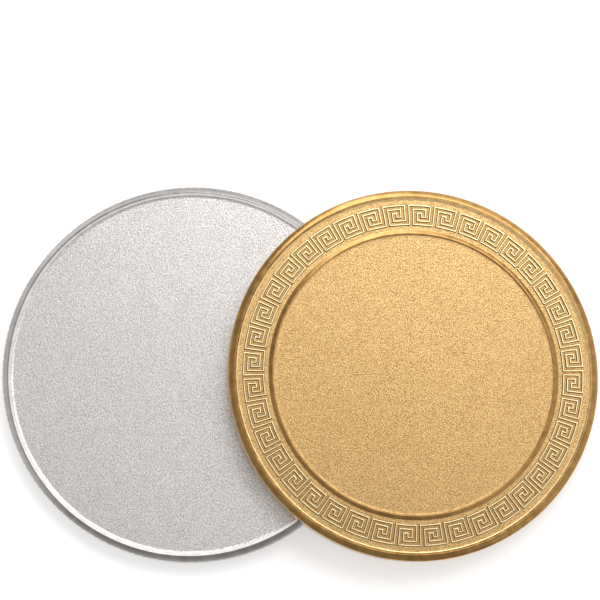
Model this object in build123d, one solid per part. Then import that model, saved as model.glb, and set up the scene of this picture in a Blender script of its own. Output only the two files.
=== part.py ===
from build123d import *
import math
import os

# A pair of blank struck medals shown together. The silver medal lies flat on the table with its plain
# side up. The gold medal leans on the silver medal's rim with its key border up, so that its far edge
# rests on the table. Each medal is one struck piece: a rim, a plain side, and a bordered side with a
# meander key border and a raised ring around a blank field. All sizes are in millimetres.

# The two medals
SILVER_DIAMETER = 40.5
GOLD_DIAMETER = 39.6
SILVER_THICKNESS = 2.5
GOLD_THICKNESS = 2.5

# How the pair is laid out
CENTRE_SPACING = 23.55
LEAN_BEARING = -1.0
REST_GAP = 0.03
LEAN_ROUNDS = 40

# The rim, the same on both sides of a medal; the gold medal's outer slope is the gentler one
RIM_SLOPE_WIDTH = 0.60
SILVER_RIM_SLOPE_DROP = 0.28
GOLD_RIM_SLOPE_DROP = 0.14
RIM_LAND_WIDTH = 0.10
RIM_HEIGHT = 0.30
PLAIN_RIM_WALL_WIDTH = 0.30
BORDER_RIM_WALL_WIDTH = 0.18

# The key border: one endless raised ridge that folds into a row of square spirals
BORDER_OUTER_MARGIN = 0.64
KEY_BAND_WIDTH = 2.33
KEY_RIDGE_WIDTH = 0.235
KEY_RIDGE_HEIGHT = 0.14
KEY_RIDGE_FOOT = 0.05
KEY_COUNT = 40
KEY_COLUMNS = 6
KEY_ROWS = 6
KEY_PHASE = 2.45
SAME_ROW = 1e-6

# The corners of one key, as column and row, from the inner edge of the band and back to it
KEY_CORNERS = [(0, 5), (0, 0), (5, 0), (5, 4), (2, 4), (2, 2), (3, 2), (3, 3), (4, 3), (4, 1), (1, 1), (1, 5)]

# The raised ring inside the key border
BORDER_INNER_MARGIN = 0.42
RING_SLOPE_WIDTH = 0.38
RING_LAND_WIDTH = 0.06
RING_WALL_WIDTH = 0.14
RING_HEIGHT = 0.12

# The reeded edge of the silver medal
REED_COUNT = 160
REED_DEPTH = 0.10
REED_CUTTER_RADIUS = 0.30


def plain_side(radius, slope_drop):
    """The plain side as radius and height points, from the edge to the axis; the rim's top is at 0."""
    crest = radius - RIM_SLOPE_WIDTH
    land = crest - RIM_LAND_WIDTH
    field = land - PLAIN_RIM_WALL_WIDTH
    return [(radius, -slope_drop), (crest, 0), (land, 0), (field, -RIM_HEIGHT), (0, -RIM_HEIGHT)]


def border_radii(radius):
    """The radii of the bordered side: rim crest, land, band edges, key band edges, and the ring's own."""
    crest = radius - RIM_SLOPE_WIDTH
    land = crest - RIM_LAND_WIDTH
    band = land - BORDER_RIM_WALL_WIDTH
    keys_outer = band - BORDER_OUTER_MARGIN
    keys_inner = keys_outer - KEY_BAND_WIDTH
    ring_foot = keys_inner - BORDER_INNER_MARGIN
    ring_crest = ring_foot - RING_SLOPE_WIDTH
    ring_land = ring_crest - RING_LAND_WIDTH
    field = ring_land - RING_WALL_WIDTH
    return crest, land, band, keys_outer, keys_inner, ring_foot, ring_crest, ring_land, field


def bordered_side(radius, slope_drop):
    """The bordered side without its keys, as radius and height points, from the edge to the axis."""
    crest, land, band, keys_outer, keys_inner, ring_foot, ring_crest, ring_land, field = border_radii(radius)
    ring_top = RING_HEIGHT - RIM_HEIGHT
    return [
        (radius, -slope_drop),
        (crest, 0),
        (land, 0),
        (band, -RIM_HEIGHT),
        (ring_foot, -RIM_HEIGHT),
        (ring_crest, ring_top),
        (ring_land, ring_top),
        (field, -RIM_HEIGHT),
        (0, -RIM_HEIGHT),
    ]


def turned_blank(radius, thickness, slope_drop):
    """The medal without keys or reeds, centred on its own axis with its bordered side up."""
    top = [(r, thickness / 2 + z) for r, z in bordered_side(radius, slope_drop)]
    bottom = [(r, -thickness / 2 - z) for r, z in plain_side(radius, slope_drop)]
    outline = Polyline(*top, *reversed(bottom), close=True)
    section = make_face(Plane.XZ * outline)
    return revolve(section, axis=Axis.Z)


def key_point(column, row, outer_radius, row_pitch):
    """A point of the key grid in the plane; columns run clockwise and rows run inwards."""
    turn = math.radians(90 + KEY_PHASE - column * 360 / (KEY_COUNT * KEY_COLUMNS))
    radius = outer_radius - row * row_pitch
    return radius * math.cos(turn), radius * math.sin(turn)


def key_wire(side, outer_radius, row_pitch):
    """One edge of the endless ridge as a closed wire; side is 1 for the outer edge, -1 for the inner."""
    half_width = side * KEY_RIDGE_WIDTH / row_pitch / 2
    centres = []
    for key in range(KEY_COUNT):
        for column, row in KEY_CORNERS:
            centres.append((column + key * KEY_COLUMNS, row))
    total_columns = KEY_COUNT * KEY_COLUMNS
    before = [(centres[-1][0] - total_columns, centres[-1][1])] + centres[:-1]
    after = centres[1:] + [(centres[0][0] + total_columns, centres[0][1])]
    corners = []
    for (c0, r0), (c1, r1), (c2, r2) in zip(before, centres, after):
        step_in = (sign(c1 - c0), sign(r1 - r0))
        step_out = (sign(c2 - c1), sign(r2 - r1))
        column = c1 + half_width * (step_in[1] + step_out[1])
        row = r1 - half_width * (step_in[0] + step_out[0])
        corners.append((column, row))
    edges = []
    for start, end in zip(corners, corners[1:] + [(corners[0][0] + total_columns, corners[0][1])]):
        first = key_point(*start, outer_radius, row_pitch)
        last = key_point(*end, outer_radius, row_pitch)
        if abs(start[1] - end[1]) < SAME_ROW:
            middle = key_point((start[0] + end[0]) / 2, start[1], outer_radius, row_pitch)
            edges.append(ThreePointArc(first, middle, last))
        else:
            edges.append(Line(first, last))
    return Wire(edges)


def sign(value):
    """Minus one, zero or one, as the value is below, at or above zero."""
    return (value > 0) - (value < 0)


def key_ridge(radius, thickness):
    """The raised meander ridge, standing on the band and sunk a little into it."""
    keys_outer = border_radii(radius)[3]
    outer_radius = keys_outer - KEY_RIDGE_WIDTH / 2
    row_pitch = (KEY_BAND_WIDTH - KEY_RIDGE_WIDTH) / (KEY_ROWS - 1)
    outside = key_wire(1, outer_radius, row_pitch)
    inside = key_wire(-1, outer_radius, row_pitch)
    ridge = Face(outside, [inside])
    foot = thickness / 2 - RIM_HEIGHT - KEY_RIDGE_FOOT
    return Pos(0, 0, foot) * extrude(ridge, KEY_RIDGE_HEIGHT + KEY_RIDGE_FOOT, dir=(0, 0, 1))


def reeded_core(radius, thickness):
    """A disc with the reeds' grooves around its edge, as thick as the medal."""
    cutters = PolarLocations(radius - REED_DEPTH + REED_CUTTER_RADIUS, REED_COUNT)
    outline = Circle(radius) - cutters * Circle(REED_CUTTER_RADIUS)
    return extrude(outline, thickness / 2, both=True)


def medal(diameter, thickness, slope_drop, reeded):
    """One medal about its own centre, with its bordered side up and its plain side down."""
    radius = diameter / 2
    body = turned_blank(radius, thickness, slope_drop)
    if reeded:
        body = body & reeded_core(radius, thickness)
    return body + key_ridge(radius, thickness)


def lean_angle(gold_crest, silver_crest):
    """The lean in degrees at which the gold medal's hidden field meets the silver medal's rim.

    The lean depends a little on itself, so it is worked out again and again until it settles.
    """
    overhang = CENTRE_SPACING - silver_crest
    lean = 0.0
    for _ in range(LEAN_ROUNDS):
        rise = (SILVER_THICKNESS + REST_GAP) * math.cos(lean) - RIM_HEIGHT
        lean = math.asin(rise / (gold_crest * math.cos(lean) + overhang))
    return math.degrees(lean)


# The silver medal lies with its plain side up, so its bordered side is the hidden one.
silver_medal = medal(SILVER_DIAMETER, SILVER_THICKNESS, SILVER_RIM_SLOPE_DROP, True)
silver_coin = Pos(0, 0, SILVER_THICKNESS / 2) * Rot(180, 0, 0) * silver_medal

# The gold medal stands on the rim crest of its hidden side at one point and leans over the silver medal.
gold_crest = GOLD_DIAMETER / 2 - RIM_SLOPE_WIDTH
silver_crest = SILVER_DIAMETER / 2 - RIM_SLOPE_WIDTH
lean = lean_angle(gold_crest, silver_crest)
gold_medal = medal(GOLD_DIAMETER, GOLD_THICKNESS, GOLD_RIM_SLOPE_DROP, False)
gold_raised = Pos(0, 0, GOLD_THICKNESS / 2) * gold_medal
gold_seat = Pos(CENTRE_SPACING, 0, gold_crest * math.sin(math.radians(lean)))
gold_coin = Rot(0, 0, LEAN_BEARING) * gold_seat * Rot(0, lean, 0) * gold_raised

# The origin is on the table, under the middle of the pair's bounding box.
box = Compound([silver_coin, gold_coin]).bounding_box()
centring = Pos(-(box.min.X + box.max.X) / 2, -(box.min.Y + box.max.Y) / 2, 0)
silver_coin = centring * silver_coin
gold_coin = centring * gold_coin

os.makedirs("parts", exist_ok=True)
export_step(silver_coin, "parts/silver_coin.step")
export_step(gold_coin, "parts/gold_coin.step")

print("lean angle", round(lean, 3))
print("pair size", box.size)
print("silver centre", centring.position)
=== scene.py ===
"""Two blank struck medals on a pale studio floor.

The silver medal lies flat with its plain side up. The gold medal leans on it with its key border up. Both are
turned from one kind of outline: a rim, a plain side, and a side with a meander border and a raised ring. All
sizes are in metres. Each medal is modelled level about its own centre and seated where the frame has it.
"""

from __future__ import annotations

import logging
import math
from dataclasses import dataclass, field
from enum import Enum

import bpy
import numpy as np
from mathutils import Euler, Matrix, Vector

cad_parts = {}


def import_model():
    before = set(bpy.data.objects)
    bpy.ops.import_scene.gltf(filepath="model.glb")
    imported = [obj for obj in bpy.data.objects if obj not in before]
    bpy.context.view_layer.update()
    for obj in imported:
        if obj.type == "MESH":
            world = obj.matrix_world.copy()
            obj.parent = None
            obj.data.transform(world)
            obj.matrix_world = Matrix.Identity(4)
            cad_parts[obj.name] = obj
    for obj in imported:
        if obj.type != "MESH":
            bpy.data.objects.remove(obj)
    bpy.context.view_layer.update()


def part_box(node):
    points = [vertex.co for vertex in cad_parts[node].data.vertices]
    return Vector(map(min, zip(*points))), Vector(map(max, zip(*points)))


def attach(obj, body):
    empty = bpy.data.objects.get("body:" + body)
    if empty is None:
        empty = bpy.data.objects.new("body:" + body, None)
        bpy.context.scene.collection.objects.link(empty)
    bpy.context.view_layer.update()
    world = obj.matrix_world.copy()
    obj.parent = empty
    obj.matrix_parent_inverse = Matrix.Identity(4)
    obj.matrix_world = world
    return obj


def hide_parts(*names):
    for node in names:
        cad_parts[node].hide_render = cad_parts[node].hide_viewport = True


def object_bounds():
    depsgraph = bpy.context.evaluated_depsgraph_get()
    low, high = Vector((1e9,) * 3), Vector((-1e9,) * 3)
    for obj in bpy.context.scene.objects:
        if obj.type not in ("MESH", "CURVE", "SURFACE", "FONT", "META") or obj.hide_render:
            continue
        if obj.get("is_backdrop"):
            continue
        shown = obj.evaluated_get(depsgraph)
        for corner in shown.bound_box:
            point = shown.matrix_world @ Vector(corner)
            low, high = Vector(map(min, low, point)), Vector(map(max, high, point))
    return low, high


LOG = logging.getLogger("medals")
MM = 0.001
SAME_PLACE = 2e-6
FINE_PITS = 0.006 * MM


class EdgeStyle(Enum):
    """How the outside edge of a medal is finished."""

    SMOOTH = "smooth"
    REEDED = "reeded"


class FaceUp(Enum):
    """Which side of a medal lies upwards."""

    BORDERED = "bordered"
    PLAIN = "plain"


class Zone(Enum):
    """The areas of a medal that get a finish of their own: the die's finish on the field, rim and edge, a
    painted highlight on the key tops and the rim's inner wall, and painted shade on the key walls and the
    grooves between the ridges.
    """

    FIELD = 0
    RIM = 1
    # Key tops: tinted paler than the field, a painted highlight on the ridge tops
    KEY_TOPS = 2
    # Key walls: tinted very dark, painted shade along the sides of the ridge
    KEY_WALLS = 3
    # Key grooves: tinted darker than the field, painted shade between the ridges
    KEY_GROOVES = 4
    # Rim's inner wall: tinted paler than the rest of the rim, a painted highlight
    INNER_WALL = 5
    EDGE = 6


@dataclass(frozen=True)
class Ring:
    """One circle of a medal's outline.

    Args:
        radius: Distance from the medal's axis.
        height: Height above the middle of the medal's thickness.
        rounding: Width of the rounding on this corner, or 0 for none.
        segments: How many steps the rounding has.
    """

    radius: float
    height: float
    rounding: float = 0.0
    segments: int = 2


class Bench:
    """Edit-mode work on one mesh, with faces and edges picked by their place."""

    def __init__(self, piece: bpy.types.Object) -> None:
        """Takes the piece to be worked on."""
        self.piece = piece

    @staticmethod
    def clear() -> None:
        """Leaves edit mode and deselects every object."""
        if bpy.context.object and bpy.context.object.mode != "OBJECT":
            bpy.ops.object.mode_set(mode="OBJECT")
        bpy.ops.object.select_all(action="DESELECT")

    @classmethod
    def from_circle(cls, name: str, ring: Ring, steps: int) -> Bench:
        """Starts a piece as one open circle.

        Args:
            name: Name of the piece.
            ring: Radius and height of the circle.
            steps: Number of its corners.

        Returns:
            A bench that holds the new piece, in edit mode, with the circle selected.
        """
        cls.clear()
        bpy.ops.mesh.primitive_circle_add(vertices=steps, radius=ring.radius, location=(0, 0, ring.height))
        bpy.ops.object.transform_apply(location=True, rotation=True, scale=True)
        piece = bpy.context.object
        piece.name = piece.data.name = name
        bpy.ops.object.mode_set(mode="EDIT")
        bpy.ops.mesh.select_mode(type="EDGE")
        bpy.ops.mesh.select_all(action="SELECT")
        return cls(piece)

    def draw_out(self, start: Ring, end: Ring) -> None:
        """Extrudes the selected circle from one ring of the outline to the next.

        Args:
            start: The ring that is selected.
            end: The ring that the new circle takes.
        """
        bpy.ops.mesh.extrude_edges_move()
        factor = end.radius / start.radius
        if factor != 1.0:
            bpy.ops.transform.resize(value=(factor, factor, 1.0), center_override=(0, 0, 0))
        if end.height != start.height:
            bpy.ops.transform.translate(value=(0, 0, end.height - start.height))

    def read(self, part: str, field_name: str, width: int, kind: type = float) -> np.ndarray:
        """Reads one value of every vertex, edge or polygon.

        Args:
            part: "vertices", "edges" or "polygons".
            field_name: The value's name.
            width: How many numbers it has.
            kind: The type of number.

        Returns:
            An array with a row for each element.
        """
        items = getattr(self.piece.data, part)
        values = np.zeros(len(items) * width, np.int32 if kind is int else np.float32)
        items.foreach_get(field_name, values)
        return values.reshape(-1, width) if width > 1 else values

    def place_of_faces(self) -> tuple[np.ndarray, np.ndarray, np.ndarray, np.ndarray]:
        """Says where every face is, and leaves edit mode.

        Returns:
            The faces' radii, angles in degrees, heights, and the upward shares of their normals.
        """
        bpy.ops.object.mode_set(mode="OBJECT")
        centres = self.read("polygons", "center", 3)
        normals = self.read("polygons", "normal", 3)
        radius = np.hypot(centres[:, 0], centres[:, 1])
        angle = np.degrees(np.arctan2(centres[:, 1], centres[:, 0]))
        return radius, angle, centres[:, 2], normals[:, 2]

    def pick(self, part: str, chosen: np.ndarray) -> None:
        """Selects the chosen vertices, edges or faces alone, and goes into edit mode.

        Args:
            part: "vertices", "edges" or "polygons".
            chosen: True for each element to select.
        """
        mode = {"vertices": "VERT", "edges": "EDGE", "polygons": "FACE"}[part]
        bpy.ops.object.mode_set(mode="EDIT")
        bpy.ops.mesh.select_mode(type=mode)
        bpy.ops.mesh.select_all(action="DESELECT")
        bpy.ops.object.mode_set(mode="OBJECT")
        getattr(self.piece.data, part).foreach_set("select", chosen)
        bpy.ops.object.mode_set(mode="EDIT")

    def pick_circles(self, rings: list[Ring]) -> None:
        """Selects the edges that lie along any of the rings.

        Args:
            rings: The circles to select.
        """
        bpy.ops.object.mode_set(mode="OBJECT")
        points = self.read("vertices", "co", 3)
        ends = self.read("edges", "vertices", 2, int)
        radius = np.hypot(points[:, 0], points[:, 1])
        chosen = np.zeros(len(ends), bool)
        for ring in rings:
            near = (abs(radius - ring.radius) < SAME_PLACE) & (abs(points[:, 2] - ring.height) < SAME_PLACE)
            chosen |= near[ends[:, 0]] & near[ends[:, 1]]
        self.pick("edges", chosen)

    def close_circle(self, ring: Ring) -> None:
        """Fills the open circle at one end of the outline with a flat face."""
        self.pick_circles([ring])
        bpy.ops.mesh.edge_face_add()

    def face_outwards(self) -> None:
        """Points every face outwards."""
        bpy.ops.object.mode_set(mode="EDIT")
        bpy.ops.mesh.select_all(action="SELECT")
        bpy.ops.mesh.normals_make_consistent(inside=False)

    def round_corners(self, rings: list[Ring]) -> None:
        """Rounds the rings that have a rounding of their own, one at a time.

        Args:
            rings: The rings of the outline.
        """
        for ring in rings:
            if ring.rounding:
                self.pick_circles([ring])
                bpy.ops.mesh.bevel(offset=ring.rounding, segments=ring.segments, affect="EDGES")

    def finish(self, smooth_angle: float) -> bpy.types.Object:
        """Points the faces outwards and shades the piece smooth up to an angle.

        Args:
            smooth_angle: The largest angle between two faces that are shaded as one, in radians.

        Returns:
            The finished piece.
        """
        self.face_outwards()
        bpy.ops.object.mode_set(mode="OBJECT")
        bpy.ops.object.shade_smooth_by_angle(angle=smooth_angle)
        return self.piece


@dataclass(frozen=True)
class KeyBorder:
    """The endless raised ridge of the meander, folded into a row of square spirals.

    Args:
        width: Width of the whole band, from ridge edge to ridge edge.
        ridge_width: Width of the ridge at its foot.
        ridge_height: Height of the ridge above the band.
        ridge_draft: How much narrower each side of the ridge is at its top.
        ridge_rounding: Rounding of the ridge's top edges.
        rounding_segments: How many steps that rounding has.
        keys: Number of keys round the border.
        columns: Columns of the grid in one key.
        rows: Rows of the grid, from the outer edge to the inner one.
        half_ridge: Half the ridge's width as a share of a column.
        corners: Corners of one key as column and row.
    """

    width: float = 2.33 * MM
    ridge_width: float = 0.235 * MM
    ridge_height: float = 0.14 * MM
    ridge_draft: float = 0.055 * MM
    ridge_rounding: float = 0.015 * MM
    rounding_segments: int = 2
    keys: int = 40
    columns: int = 6
    rows: int = 6
    half_ridge: float = 0.25
    corners: tuple[tuple[int, int], ...] = (
        (0, 5), (0, 0), (5, 0), (5, 4), (2, 4), (2, 2), (3, 2), (3, 3), (4, 3), (4, 1), (1, 1), (1, 5),
    )

    @property
    def row_pitch(self) -> float:
        """Distance between two rows of the grid."""
        return (self.width - self.ridge_width) / (self.rows - 1)

    @property
    def column_angle(self) -> float:
        """Angle between two columns of the grid, in degrees."""
        return 360.0 / (self.keys * self.columns)

    def radii(self, outer: float) -> list[float]:
        """The radii at which a row of ridge starts or ends, from the inside out.

        Args:
            outer: The outer radius of the band.

        Returns:
            Two radii for each row.
        """
        found = []
        for row in reversed(range(self.rows)):
            top = outer - row * self.row_pitch
            found += [top - self.ridge_width, top]
        return found

    def on_ridge(self, radius: np.ndarray, angle: np.ndarray, outer: float) -> np.ndarray:
        """Says which places lie on the ridge.

        Args:
            radius: Distance of each place from the axis.
            angle: Angle of each place, in degrees, anticlockwise from +X.
            outer: The outer radius of the band.

        Returns:
            True for each place that lies on the ridge.
        """
        row = (outer - self.ridge_width / 2 - radius) / self.row_pitch
        half_row = self.ridge_width / self.row_pitch / 2
        turned = (90.0 - angle) / self.column_angle - self.half_ridge
        chosen = np.zeros(len(radius), bool)
        path = self.corners + ((self.columns, self.corners[0][1]),)
        for (c0, r0), (c1, r1) in zip(path, path[1:]):
            low_row, high_row = min(r0, r1) - half_row, max(r0, r1) + half_row
            in_rows = (row > low_row) & (row < high_row)
            start = min(c0, c1) - self.half_ridge
            span = abs(c1 - c0) + 2 * self.half_ridge
            chosen |= in_rows & (np.mod(turned - start, self.columns) < span)
        return chosen


@dataclass(frozen=True)
class Relief:
    """Sizes of the rim, the plain margins and the raised ring.

    Args:
        slope_width: Width of the rim's outer slope.
        slope_drop: How far that slope falls to the outer edge.
        land_width: Width of the rim's flat top.
        rim_height: Height of the rim above the field.
        plain_wall: Width of the rim's inner wall on the plain side.
        border_wall: Width of the rim's inner wall on the bordered side.
        outer_margin: Blank margin between the rim and the keys.
        inner_margin: Blank margin between the keys and the ring.
        ring_slope: Width of the ring's outer slope.
        ring_land: Width of the ring's flat top.
        ring_wall: Width of the ring's inner wall.
        ring_height: Height of the ring above the field.
        corner_rounding: Rounding of the corners; over the bordered side's inner walls it is half of that.
        edge_rounding: Rounding of the outer edge.
        edge_segments: How many steps the outer edge's rounding has.
        plain_cove: Width of the hollow at the foot of the plain side's inner wall.
        plain_segments: How many steps that hollow has.
        border_cove: Width of the hollow at the foot of the bordered side's inner wall.
        border_segments: How many steps that hollow has.
    """

    slope_width: float = 0.60 * MM
    slope_drop: float = 0.28 * MM
    land_width: float = 0.10 * MM
    rim_height: float = 0.30 * MM
    plain_wall: float = 0.30 * MM
    border_wall: float = 0.18 * MM
    outer_margin: float = 0.64 * MM
    inner_margin: float = 0.42 * MM
    ring_slope: float = 0.38 * MM
    ring_land: float = 0.06 * MM
    ring_wall: float = 0.14 * MM
    ring_height: float = 0.12 * MM
    corner_rounding: float = 0.035 * MM
    edge_rounding: float = 0.10 * MM
    edge_segments: int = 3
    plain_cove: float = 0.20 * MM
    plain_segments: int = 5
    border_cove: float = 0.12 * MM
    border_segments: int = 4


@dataclass
class Medal:
    """One struck medal.

    Args:
        name: Name of the piece.
        node: The CAD node that the piece stands for, which is also its body's name.
        slot: The record's material slot. Not used.
        diameter: Outside diameter.
        face_up: The side that lies upwards.
        edge: Finish of the outside edge.
        finishes: A finish for each zone.
        thickness: Thickness over the two rims.
        steps: Corners round each circle.
        key_turn: Where the border's first key stands, in degrees anticlockwise from +Y.
        reeds: Number of reeds round the edge.
        reed_depth: Depth of the grooves between the reeds.
        relief: Sizes of the rim, the margins and the ring.
        border: Sizes of the key border.
    """

    name: str
    node: str
    slot: str
    diameter: float
    face_up: FaceUp
    edge: EdgeStyle
    finishes: dict[Zone, Finish]
    thickness: float = 2.5 * MM
    steps: int = 480
    key_turn: float = 2.45
    reeds: int = 160
    reed_depth: float = 0.10 * MM
    relief: Relief = field(default_factory=Relief)
    border: KeyBorder = field(default_factory=KeyBorder)

    # Radii of the rings that divide a blank field, as shares of its own
    FIELD_SHARES = (0.2, 0.45, 0.75)
    # How far from a rounded corner the next ring of a flat stands, so that the rounding has room
    HOLD = 0.26 * MM
    # The largest angle between two faces that are shaded as one
    SMOOTH_ANGLE = math.radians(32)
    # The tilt past which a face of the ridge is one of its walls
    STEEP = math.radians(40)
    # How far up the ridge a face has to be to count as part of it, as a share of its height
    RIDGE_START = 0.05
    # The depth of a groove at each corner of the edge between two reeds, as a share of its greatest depth
    GROOVE_SHARES = (0.0, 0.0, 0.69, 1.0, 0.69, 0.0)
    # A smaller lean than this counts as lying flat
    LEVEL = math.radians(0.1)

    @property
    def radius(self) -> float:
        """Outside radius."""
        return self.diameter / 2

    @property
    def band_outer(self) -> float:
        """Outer radius of the key band."""
        r = self.relief
        return self.radius - r.slope_width - r.land_width - r.border_wall - r.outer_margin

    @property
    def ring_crest(self) -> float:
        """Outer radius of the raised ring's flat top."""
        return self.band_outer - self.border.width - self.relief.inner_margin - self.relief.ring_slope

    @property
    def field_radius(self) -> float:
        """Radius of the blank field inside the raised ring."""
        return self.ring_crest - self.relief.ring_land - self.relief.ring_wall

    def field_rings(self, outer: float, height: float) -> list[Ring]:
        """The flat rings of a blank field, from near the axis to just inside its edge."""
        shares = [Ring(outer * share, height) for share in self.FIELD_SHARES]
        return shares + [Ring(outer - self.HOLD, height)]

    def bordered_rings(self) -> list[Ring]:
        """Lays out the bordered side.

        Returns:
            The rings of its outline, from the middle of the field to the outer edge.
        """
        r, half = self.relief, self.thickness / 2
        floor, ring_top = half - r.rim_height, half - r.rim_height + r.ring_height
        crest = self.radius - r.slope_width
        foot = self.ring_crest + r.ring_slope
        rings = self.field_rings(self.field_radius, floor)
        rings += [
            Ring(self.field_radius, floor, r.corner_rounding),
            Ring(self.ring_crest - r.ring_land, ring_top, r.corner_rounding / 2),
            Ring(self.ring_crest, ring_top, r.corner_rounding),
            Ring(foot, floor, r.corner_rounding),
            Ring(foot + self.HOLD / 2, floor),
        ]
        rings += [Ring(radius, floor) for radius in self.border.radii(self.band_outer)]
        rings += [
            Ring(crest - r.land_width - r.border_wall - self.HOLD, floor),
            Ring(crest - r.land_width - r.border_wall, floor, r.border_cove, r.border_segments),
            Ring(crest - r.land_width, half, r.corner_rounding / 2),
            Ring(crest, half, r.corner_rounding),
            Ring(self.radius, half - r.slope_drop, r.edge_rounding, r.edge_segments),
        ]
        return rings

    def plain_rings(self) -> list[Ring]:
        """Lays out the plain side.

        Returns:
            The rings of its outline, from the outer edge to the middle of the field.
        """
        r, half = self.relief, self.thickness / 2
        crest = self.radius - r.slope_width
        wall_foot = crest - r.land_width - r.plain_wall
        rings = [
            Ring(self.radius, r.slope_drop - half, r.edge_rounding, r.edge_segments),
            Ring(crest, -half, r.corner_rounding),
            Ring(crest - r.land_width, -half, r.corner_rounding),
            Ring(wall_foot, r.rim_height - half, r.plain_cove, r.plain_segments),
        ]
        return rings + self.field_rings(wall_foot, r.rim_height - half)[::-1]

    def turn(self) -> Bench:
        """Draws the outline out ring by ring and closes it on both sides.

        Returns:
            The bench that holds the plain turned blank.
        """
        rings = self.bordered_rings() + self.plain_rings()
        bench = Bench.from_circle(self.name, rings[0], self.steps)
        for start, end in zip(rings, rings[1:]):
            bench.draw_out(start, end)
        bench.close_circle(rings[0])
        bench.close_circle(rings[-1])
        bench.face_outwards()
        return bench

    def raise_keys(self, bench: Bench) -> None:
        """Raises the meander ridge from the band and rounds its top edges.

        Args:
            bench: The bench that holds the turned blank.
        """
        radius, angle, height, _ = bench.place_of_faces()
        inner = self.band_outer - self.border.width
        in_band = (radius > inner) & (radius < self.band_outer) & (height > 0)
        bench.pick("polygons", in_band & self.border.on_ridge(radius, angle, self.band_outer))
        bpy.ops.mesh.inset(thickness=self.border.ridge_draft, depth=self.border.ridge_height)
        bpy.ops.mesh.region_to_loop()
        bpy.ops.mesh.bevel(
            offset=self.border.ridge_rounding, segments=self.border.rounding_segments, affect="EDGES"
        )

    def cut_reeds(self, bench: Bench) -> None:
        """Draws the grooves between the reeds inwards, on the edge's own circles.

        Args:
            bench: The bench that holds the medal.
        """
        bpy.ops.object.mode_set(mode="OBJECT")
        points = bench.read("vertices", "co", 3)
        on_edge = np.hypot(points[:, 0], points[:, 1]) > self.radius - self.relief.corner_rounding
        angle = np.degrees(np.arctan2(points[:, 1], points[:, 0]))
        step = np.rint(np.mod(angle, 360.0) * self.steps / 360.0).astype(int) % (self.steps // self.reeds)
        for place, share in enumerate(self.GROOVE_SHARES):
            if share:
                factor = 1.0 - share * self.reed_depth / self.radius
                bench.pick("vertices", on_edge & (step == place))
                bpy.ops.transform.resize(value=(factor, factor, 1.0), center_override=(0, 0, 0))

    def zones(self, bench: Bench) -> dict[Zone, np.ndarray]:
        """Sorts the faces into the zones of the medal, while it is still level.

        Args:
            bench: The bench that holds the medal.

        Returns:
            For each zone but the field, True for each face in it.
        """
        radius, _, height, facing = bench.place_of_faces()
        r, half = self.relief, self.thickness / 2
        crest = self.radius - r.slope_width
        foot = self.ring_crest + r.ring_slope
        top, floor = height > 0, half - r.rim_height
        edge = radius > self.radius - r.edge_rounding
        inner_wall = crest - r.land_width - np.where(top, r.border_wall, r.plain_wall)
        ring = top & (radius > self.field_radius) & (radius < foot)
        rim = ((radius > inner_wall) & ~edge) | ring
        keys = top & ~rim & ~edge & (height > floor + self.border.ridge_height * self.RIDGE_START)
        steep = abs(facing) < math.cos(self.STEEP)
        in_band = (radius > self.band_outer - self.border.width) & (radius < self.band_outer)
        return {
            Zone.EDGE: edge,
            Zone.RIM: rim,
            # Flat ridge tops, which get a paler tint as a painted highlight
            Zone.KEY_TOPS: keys & ~steep,
            # Steep ridge sides, which get a dark tint as painted shade
            Zone.KEY_WALLS: keys & steep,
            # Band floor between the ridges, which gets a darker tint as painted shade
            Zone.KEY_GROOVES: top & in_band & ~keys,
            # Rim's inner wall, which gets a paler tint than the rim as a painted highlight
            Zone.INNER_WALL: (radius > inner_wall) & (radius < crest - r.land_width),
        }

    def dress(self, bench: Bench, placement: Matrix) -> None:
        """Gives every zone its material.

        Args:
            bench: The bench that holds the piece.
            placement: Where the medal will stand, so that patterns can follow its axis.
        """
        zones = self.zones(bench)
        for zone in Zone:
            bench.piece.data.materials.append(self.finishes[zone].material(placement))
        for zone, faces in zones.items():
            bench.pick("polygons", faces)
            bench.piece.active_material_index = zone.value
            bpy.ops.object.material_slot_assign()

    def placement(self) -> Matrix:
        """Works out where the frame holds this medal, from the boxes of the two nodes.

        Returns:
            The matrix that takes the level medal to its seat.
        """
        low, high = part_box(self.node)
        centre = (low + high) / 2
        crest_width = self.diameter - 2 * self.relief.slope_width
        diagonal = math.hypot(crest_width, self.thickness)
        lean = math.asin((high.z - low.z) / diagonal) - math.atan2(self.thickness, crest_width)
        lean = 0.0 if lean < self.LEVEL else lean
        silver_low, silver_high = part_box("silver_coin")
        away = centre - (silver_low + silver_high) / 2
        bearing = math.atan2(away.y, away.x) if lean else 0.0
        half_ridge_turn = self.border.half_ridge * self.border.column_angle
        own_turn = Euler((0, 0, math.radians(self.key_turn + half_ridge_turn))).to_matrix().to_4x4()
        over = math.pi if self.face_up is FaceUp.PLAIN else 0.0
        turned_over = Euler((over, 0, 0)).to_matrix().to_4x4()
        leaned = Euler((0, lean, 0)).to_matrix().to_4x4()
        headed = Euler((0, 0, bearing)).to_matrix().to_4x4()
        return Matrix.Translation(centre) @ headed @ leaned @ turned_over @ own_turn

    def build(self) -> bpy.types.Object:
        """Models, dresses and seats the medal.

        Returns:
            The finished piece, riding on its body.
        """
        bench = self.turn()
        self.raise_keys(bench)
        bench.round_corners(self.bordered_rings() + self.plain_rings())
        if self.edge is EdgeStyle.REEDED:
            self.cut_reeds(bench)
        placement = self.placement()
        self.dress(bench, placement)
        piece = bench.finish(self.SMOOTH_ANGLE)
        piece.matrix_world = placement
        bpy.ops.object.transform_apply(location=True, rotation=True, scale=True)
        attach(piece, self.node)
        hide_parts(self.node)
        return piece


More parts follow.
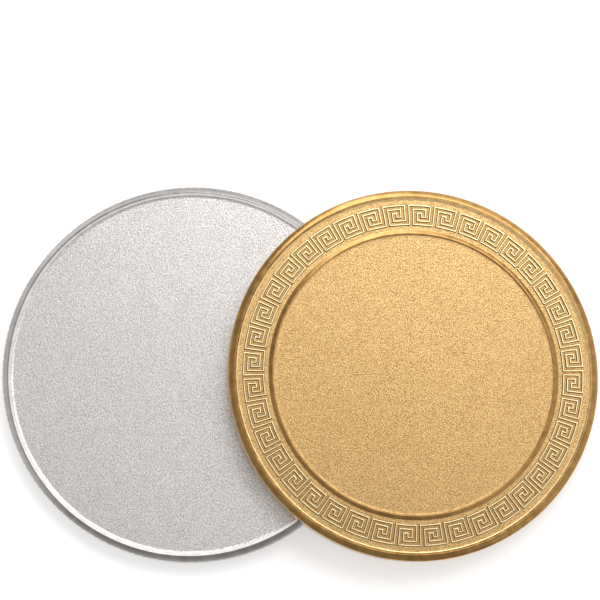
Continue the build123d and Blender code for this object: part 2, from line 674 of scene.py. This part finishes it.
class Graph:
    """A material's node graph, built from the shader backwards."""

    def __init__(self, name: str) -> None:
        """Makes a node material with one shader.

        Args:
            name: Name of the material.
        """
        self.material = bpy.data.materials.new(name)
        self.material.use_nodes = True
        self.nodes = self.material.node_tree.nodes
        self.links = self.material.node_tree.links
        self.shader = self.nodes["Principled BSDF"]

    def add(self, kind: str, **settings: object) -> bpy.types.Node:
        """Adds a node.

        Args:
            kind: The node's type, without its "ShaderNode" prefix.
            settings: Properties by name; a name that isn't a property sets the input of that name.

        Returns:
            The new node.
        """
        node = self.nodes.new("ShaderNode" + kind)
        for name, value in settings.items():
            if hasattr(node, name):
                setattr(node, name, value)
            else:
                node.inputs[name.replace("_", " ").title()].default_value = value
        return node

    def join(self, source: bpy.types.NodeSocket, target: bpy.types.NodeSocket) -> None:
        """Links two sockets."""
        self.links.new(source, target)

    def local_place(self, placement: Matrix) -> bpy.types.NodeSocket:
        """Gives places on the seated medal in its own level frame.

        Args:
            placement: Where the medal is seated.

        Returns:
            The places as a socket.
        """
        back = placement.inverted()
        coordinates = self.add("TexCoord")
        mapping = self.add("Mapping")
        mapping.inputs["Location"].default_value = back.translation
        mapping.inputs["Rotation"].default_value = back.to_euler("XYZ")
        self.join(coordinates.outputs["Object"], mapping.inputs["Vector"])
        return mapping.outputs["Vector"]

    def maths(self, operation: str, *values: object) -> bpy.types.NodeSocket:
        """Adds a Math node.

        Args:
            operation: The node's operation.
            values: The numbers and sockets that it works on.

        Returns:
            The result as a socket.
        """
        node = self.add("Math", operation=operation)
        for index, value in enumerate(values):
            if isinstance(value, bpy.types.NodeSocket):
                self.join(value, node.inputs[index])
            else:
                node.inputs[index].default_value = value
        return node.outputs[0]

    def noise(self, place: bpy.types.NodeSocket, size: float, detail: float = 2.0) -> bpy.types.NodeSocket:
        """Adds a cloud pattern.

        Args:
            place: The places that it is laid over.
            size: How large its features are, in metres.
            detail: How many finer layers it has.

        Returns:
            The pattern, from 0 to 1, as a socket.
        """
        node = self.add("TexNoise", scale=1.0 / size, detail=detail)
        self.join(place, node.inputs["Vector"])
        return node.outputs[0]

    def spread(
        self, value: bpy.types.NodeSocket, span: tuple[float, float], low: float, high: float
    ) -> bpy.types.NodeSocket:
        """Stretches a part of a pattern's range over another range.

        Args:
            value: The pattern.
            span: The part of the pattern's range that is stretched.
            low: The result at the start of the span.
            high: The result at its end.

        Returns:
            The stretched pattern as a socket.
        """
        node = self.add("MapRange")
        node.inputs["From Min"].default_value, node.inputs["From Max"].default_value = span
        node.inputs["To Min"].default_value = low
        node.inputs["To Max"].default_value = high
        self.join(value, node.inputs["Value"])
        return node.outputs["Result"]

    def tint(self, factor: bpy.types.NodeSocket, low: tuple[float, ...], high: tuple[float, ...]) -> None:
        """Colours the surface between two tints by a pattern.

        Args:
            factor: The pattern, from 0 to 1.
            low: The tint where the pattern is 0.
            high: The tint where it is 1.
        """
        ramp = self.add("ValToRGB")
        ramp.color_ramp.elements[0].color = (*low, 1.0)
        ramp.color_ramp.elements[1].color = (*high, 1.0)
        self.join(factor, ramp.inputs["Fac"])
        self.join(ramp.outputs["Color"], self.shader.inputs["Base Color"])

    def relief(self, height: bpy.types.NodeSocket, strength: float, distance: float) -> None:
        """Roughens the surface by a height pattern.

        Args:
            height: The pattern, from 0 to 1.
            strength: How strongly it shows.
            distance: Its depth, in metres.
        """
        bump = self.add("Bump")
        bump.inputs["Strength"].default_value = strength
        bump.inputs["Distance"].default_value = distance
        self.join(height, bump.inputs["Height"])
        self.join(bump.outputs["Normal"], self.shader.inputs["Normal"])


@dataclass(frozen=True)
class Finish:
    """What every finish of a plated metal has.

    Args:
        name: Name of the material.
        bright: Tint of the metal where it is smooth.
        dull: Tint in its pits.
    """

    name: str
    bright: tuple[float, float, float]
    dull: tuple[float, float, float]

    def material(self, placement: Matrix) -> bpy.types.Material:
        """Makes the material for a medal that is seated at that placement."""
        raise NotImplementedError


@dataclass(frozen=True)
class Sandblasted(Finish):
    """A plated face that was blasted with fine grit.

    Args:
        smooth: Roughness on the high grains.
        rough: Roughness in the pits.
        grain: Size of the grains.
        depth: Depth of the pits.
        grain_detail: How many finer layers the grains have.
        grain_span: The part of the grain pattern's range that runs from dull to bright.
        gloss_span: The part of that range that runs from rough to smooth.
        pit_spacing: Spacing of the round pits, as a share of the grains' size.
        pit_share: Height of the round pits against the grains.
        drift: Size of the slow changes in tone.
        drift_span: The part of the drift pattern's range that changes the tone.
        drift_share: How much of the tone is drift.
    """

    smooth: float = 0.30
    rough: float = 0.42
    grain: float = 0.115 * MM
    depth: float = 0.024 * MM
    grain_detail: float = 3.0
    grain_span: tuple[float, float] = (0.36, 0.64)
    gloss_span: tuple[float, float] = (0.3, 0.7)
    pit_spacing: float = 1.3
    pit_share: float = 0.45
    drift: float = 3.0 * MM
    drift_span: tuple[float, float] = (0.3, 0.7)
    drift_share: float = 0.06

    def material(self, placement: Matrix) -> bpy.types.Material:
        """Lays grains and round pits over the face, with dull pits and a slow drift in tone.

        Args:
            placement: Where the medal is seated.

        Returns:
            The material.
        """
        graph = Graph(self.name)
        place = graph.local_place(placement)
        fine = graph.noise(place, self.grain, self.grain_detail)
        pits = graph.add("TexVoronoi", scale=1.0 / (self.grain * self.pit_spacing))
        pits.feature = "SMOOTH_F1"
        graph.join(place, pits.inputs["Vector"])
        height = graph.maths("ADD", fine, graph.maths("MULTIPLY", pits.outputs["Distance"], self.pit_share))
        drift = graph.noise(place, self.drift, self.grain_detail)
        fine_tone = graph.spread(fine, self.grain_span, 0.0, 1.0 - self.drift_share)
        slow_tone = graph.spread(drift, self.drift_span, 0.0, self.drift_share)
        graph.tint(graph.maths("ADD", fine_tone, slow_tone), self.dull, self.bright)
        gloss = graph.spread(fine, self.gloss_span, self.rough, self.smooth)
        graph.join(gloss, graph.shader.inputs["Roughness"])
        graph.shader.inputs["Metallic"].default_value = 1.0
        graph.relief(height, 1.0, self.depth)
        return graph.material


@dataclass(frozen=True)
class Burnished(Finish):
    """A plated surface that the die's polished parts left bright, with fine turning lines.

    Args:
        smooth: Roughness of the polish.
        rough: Roughness of the turning lines.
        line: Spacing of the turning lines.
        depth: Depth of the turning lines.
        lacquer: How much clear lacquer covers the metal.
        lacquer_ior: Refractive index of the lacquer.
        line_travel: How far the pattern moves on along a line in one radian; less makes longer lines.
        line_strength: How strongly the turning lines show.
        marks: Size of the handling marks.
        marks_detail: How many finer layers the handling marks have.
        marks_span: The part of the marks pattern's range that changes the wear.
        tint_span: The part of that range that runs from dull to bright.
        wear_span: The part of the worn lines' range that runs from smooth to rough.
        least_wear: How much the turning lines show where there is no handling mark.
    """

    smooth: float = 0.14
    rough: float = 0.26
    line: float = 0.05 * MM
    depth: float = 0.0015 * MM
    lacquer: float = 0.0
    lacquer_ior: float = 1.7
    line_travel: float = 0.4 * MM
    line_strength: float = 0.6
    marks: float = 0.9 * MM
    marks_detail: float = 4.0
    marks_span: tuple[float, float] = (0.3, 0.7)
    tint_span: tuple[float, float] = (0.3, 0.65)
    wear_span: tuple[float, float] = (0.15, 0.6)
    least_wear: float = 0.4

    def material(self, placement: Matrix) -> bpy.types.Material:
        """Lays turning lines round the medal's circle, with light handling marks.

        Args:
            placement: Where the medal is seated.

        Returns:
            The material.
        """
        graph = Graph(self.name)
        place = graph.local_place(placement)
        split = graph.add("SeparateXYZ")
        graph.join(place, split.inputs[0])
        x, y, z = split.outputs
        square = graph.maths("ADD", graph.maths("MULTIPLY", x, x), graph.maths("MULTIPLY", y, y))
        turn = graph.maths("ARCTAN2", y, x)
        rolled = graph.add("CombineXYZ")
        graph.join(graph.maths("SQRT", square), rolled.inputs[0])
        graph.join(graph.maths("MULTIPLY", turn, self.line_travel), rolled.inputs[1])
        graph.join(z, rolled.inputs[2])
        lines = graph.noise(rolled.outputs[0], self.line)
        marks = graph.noise(place, self.marks, self.marks_detail)
        wear = graph.maths("MULTIPLY", lines, graph.spread(marks, self.marks_span, self.least_wear, 1.0))
        graph.tint(graph.spread(marks, self.tint_span, 0.0, 1.0), self.dull, self.bright)
        gloss = graph.spread(wear, self.wear_span, self.smooth, self.rough)
        graph.join(gloss, graph.shader.inputs["Roughness"])
        graph.shader.inputs["Metallic"].default_value = 1.0
        graph.shader.inputs["Coat Weight"].default_value = self.lacquer
        graph.shader.inputs["Coat IOR"].default_value = self.lacquer_ior
        graph.shader.inputs["Coat Roughness"].default_value = self.smooth
        graph.relief(lines, self.line_strength, self.depth)
        return graph.material


@dataclass(frozen=True)
class Panel:
    """One soft light panel on a dome over the medals.

    Args:
        name: Name of the light.
        tilt: How far its middle stands from straight overhead, in degrees.
        heading: Its compass heading in degrees, clockwise from +Y.
        tall: How much of the dome it covers from top to bottom, in degrees.
        wide: How much of the dome it covers from side to side, in degrees.
        radiance: How bright its face is, where white paper in full light is 1.
        colour: Its colour.
        distance: Radius of the dome.
    """

    name: str
    tilt: float
    heading: float
    tall: float
    wide: float
    radiance: float
    colour: tuple[float, float, float] = (1.0, 1.0, 1.0)
    distance: float = 0.6

    def build(self) -> None:
        """Adds the panel, facing the middle of the dome's floor."""
        light = bpy.data.lights.new(self.name, "AREA")
        light.shape = "RECTANGLE"
        light.size = 2 * self.distance * math.tan(math.radians(self.wide / 2))
        light.size_y = 2 * self.distance * math.tan(math.radians(self.tall / 2))
        light.energy = self.radiance * math.pi * light.size * light.size_y
        light.color = self.colour
        turned = Euler((math.radians(-self.tilt), 0, math.radians(-self.heading))).to_matrix().to_4x4()
        lamp = bpy.data.objects.new(self.name, light)
        lamp.matrix_world = turned @ Matrix.Translation((0, 0, self.distance))
        bpy.context.scene.collection.objects.link(lamp)


@dataclass
class Studio:
    """The floor, the panels, the room's own light and the camera.

    Args:
        floor_size: Length of each side of the floor.
        floor_tone: How pale the floor is.
        floor_shade: The floor's darker patches, as a share of its tone.
        floor_patch: Size of those patches.
        floor_roughness: Roughness of the floor.
        floor_gloss: How much the floor mirrors.
        floor_glow: Light that the floor gives of its own.
        room: Colour and strength of the room's light at the horizon.
        dim_above: How strong the room's light is higher up, as a share of that.
        dim_from: The height above which it is that dim, where straight up is 1.
        panels: The light panels.
        camera_distance: Distance from the camera to its aim.
        camera_elevation: How far above the horizon the camera stands.
        camera_lens: Focal length of the lens, in millimetres.
        camera_near: The nearest that the camera sees.
        aim_back: How far behind the middle of the pair the camera aims.
    """

    floor_size: float = 3.0
    floor_tone: float = 0.86
    floor_shade: float = 0.97
    floor_patch: float = 0.05
    floor_roughness: float = 0.9
    floor_gloss: float = 0.1
    floor_glow: float = 0.34
    room: tuple[float, float, float] = (1.88, 1.86, 1.84)
    dim_above: float = 0.22
    dim_from: float = 0.65
    panels: tuple[Panel, ...] = (
        Panel("main_softbox", 33, 27, 26, 42, 3.25),
        Panel("back_wall", 55, 5, 20, 100, 0.72),
        Panel("right_wall", 45, 95, 34, 50, 0.40),
        Panel("left_wall", 48, 275, 34, 60, 0.36),
        Panel("overhead", 4, 220, 30, 34, 0.2),
    )
    camera_distance: float = 0.200
    camera_elevation: float = math.radians(80)
    camera_lens: float = 110.1
    camera_near: float = 0.01
    aim_back: float = 8.16 * MM

    def floor(self) -> None:
        """Adds the pale floor under the medals."""
        Bench.clear()
        bpy.ops.mesh.primitive_plane_add(size=self.floor_size, location=(0, 0, 0))
        floor = bpy.context.object
        floor.name = floor.data.name = "studio_floor"
        graph = Graph("pale_paper")
        graph.shader.inputs["Roughness"].default_value = self.floor_roughness
        graph.shader.inputs["Specular IOR Level"].default_value = self.floor_gloss
        graph.shader.inputs["Emission Color"].default_value = (1.0, 1.0, 1.0, 1.0)
        graph.shader.inputs["Emission Strength"].default_value = self.floor_glow
        place = graph.add("TexCoord").outputs["Object"]
        pale, shade = (self.floor_tone,) * 3, (self.floor_tone * self.floor_shade,) * 3
        graph.tint(graph.noise(place, self.floor_patch), shade, pale)
        floor.data.materials.append(graph.material)
        floor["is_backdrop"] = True

    def room_light(self) -> None:
        """Fills the room with light that is strongest low down."""
        world = bpy.data.worlds.new("room")
        bpy.context.scene.world = world
        world.use_nodes = True
        nodes, links = world.node_tree.nodes, world.node_tree.links
        walls = nodes["Background"]
        coordinates = nodes.new("ShaderNodeTexCoord")
        split = nodes.new("ShaderNodeSeparateXYZ")
        ramp = nodes.new("ShaderNodeValToRGB")
        ramp.color_ramp.elements[0].color = (*self.room, 1.0)
        ramp.color_ramp.elements[1].color = (*(tone * self.dim_above for tone in self.room), 1.0)
        ramp.color_ramp.elements[1].position = self.dim_from
        links.new(coordinates.outputs["Generated"], split.inputs[0])
        links.new(split.outputs["Z"], ramp.inputs["Fac"])
        links.new(ramp.outputs["Color"], walls.inputs["Color"])

    def camera(self) -> None:
        """Adds the camera, looking down past the medals from their front."""
        low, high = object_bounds()
        middle = (low + high) / 2
        aim = Vector((middle.x, middle.y + self.aim_back, 0.0))
        back = Vector((0, -math.cos(self.camera_elevation), math.sin(self.camera_elevation)))
        data = bpy.data.cameras.new("camera")
        data.lens, data.clip_start = self.camera_lens, self.camera_near
        camera = bpy.data.objects.new("camera", data)
        camera.location = aim + back * self.camera_distance
        camera.rotation_euler = (-back).to_track_quat("-Z", "Y").to_euler()
        bpy.context.scene.collection.objects.link(camera)
        bpy.context.scene.camera = camera

    def build(self) -> None:
        """Builds the whole studio."""
        self.floor()
        self.room_light()
        for panel in self.panels:
            panel.build()
        self.camera()
        bpy.context.scene.view_settings.view_transform = "Standard"


def silver_finishes() -> dict[Zone, Finish]:
    """Picks the silver medal's finishes.

    Returns:
        A finish for each zone.
    """
    burnished = Burnished("silver_burnished", (0.40, 0.385, 0.375), (0.335, 0.32, 0.31))
    return {
        Zone.FIELD: Sandblasted("silver_sandblasted", (1.0, 0.975, 0.955), (0.50, 0.46, 0.445)),
        Zone.RIM: burnished,
        # Painted highlight: the key tops are tinted near white, paler than the field
        Zone.KEY_TOPS: Sandblasted("silver_key_tops_painted_highlight", (1.0, 0.98, 0.97), (0.92, 0.90, 0.88), depth=FINE_PITS),
        # Painted shade: the key walls are tinted dark grey
        Zone.KEY_WALLS: Burnished("silver_key_walls_painted_shade", (0.24, 0.23, 0.23), (0.14, 0.13, 0.13), 0.28, 0.42),
        # Painted shade: the grooves between the ridges are tinted darker than the field
        Zone.KEY_GROOVES: Sandblasted("silver_key_grooves_painted_shade", (0.66, 0.64, 0.63), (0.38, 0.36, 0.35)),
        # Painted highlight: the rim's inner wall is tinted much paler than the burnished rim
        Zone.INNER_WALL: Burnished("silver_inner_wall_painted_highlight", (0.74, 0.72, 0.71), (0.60, 0.58, 0.57), 0.22, 0.36),
        Zone.EDGE: burnished,
    }


def gold_finishes() -> dict[Zone, Finish]:
    """Picks the gold medal's finishes.

    Returns:
        A finish for each zone.
    """
    burnished = Burnished("gold_burnished", (0.44, 0.245, 0.062), (0.32, 0.16, 0.032), lacquer=0.5)
    return {
        Zone.FIELD: Sandblasted("gold_sandblasted", (0.82, 0.555, 0.25), (0.36, 0.205, 0.068)),
        Zone.RIM: burnished,
        # Painted highlight: the key tops are tinted pale cream, paler than the gold field
        Zone.KEY_TOPS: Sandblasted("gold_key_tops_painted_highlight", (1.0, 0.83, 0.49), (0.92, 0.73, 0.39), depth=FINE_PITS),
        # Painted shade: the key walls are tinted near black brown
        Zone.KEY_WALLS: Burnished("gold_key_walls_painted_shade", (0.09, 0.042, 0.008), (0.045, 0.02, 0.004), 0.28, 0.42),
        # Painted shade: the grooves between the ridges are tinted darker than the gold field
        Zone.KEY_GROOVES: Sandblasted("gold_key_grooves_painted_shade", (0.64, 0.40, 0.16), (0.34, 0.20, 0.07)),
        # Painted highlight: the rim's inner wall is tinted much paler than the burnished rim
        Zone.INNER_WALL: Burnished("gold_inner_wall_painted_highlight", (0.74, 0.50, 0.22), (0.58, 0.37, 0.14), 0.22, 0.36),
        Zone.EDGE: burnished,
    }


@dataclass
class SilverMedal(Medal):
    """The silver medal, with its plain side up and a reeded edge."""

    name: str = "silver_medal"
    node: str = "silver_coin"
    slot: str = "silver_plate"
    diameter: float = 40.5 * MM
    face_up: FaceUp = FaceUp.PLAIN
    edge: EdgeStyle = EdgeStyle.REEDED
    finishes: dict[Zone, Finish] = field(default_factory=silver_finishes)
    steps: int = 960


@dataclass
class GoldMedal(Medal):
    """The gold medal, with its key border up, a smooth edge and a gentler rim."""

    name: str = "gold_medal"
    node: str = "gold_coin"
    slot: str = "gold_plate"
    diameter: float = 39.6 * MM
    face_up: FaceUp = FaceUp.BORDERED
    edge: EdgeStyle = EdgeStyle.SMOOTH
    finishes: dict[Zone, Finish] = field(default_factory=gold_finishes)
    relief: Relief = field(default_factory=lambda: Relief(slope_drop=0.14 * MM))


def main() -> None:
    """Builds the medals and the studio, and logs how many faces each medal has."""
    logging.basicConfig(level=logging.INFO, format="%(name)s: %(message)s")
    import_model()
    for medal in (SilverMedal(), GoldMedal()):
        piece = medal.build()
        LOG.info("%s: %d faces", piece.name, len(piece.data.polygons))
    Studio().build()


if __name__ == "__main__":
    main()
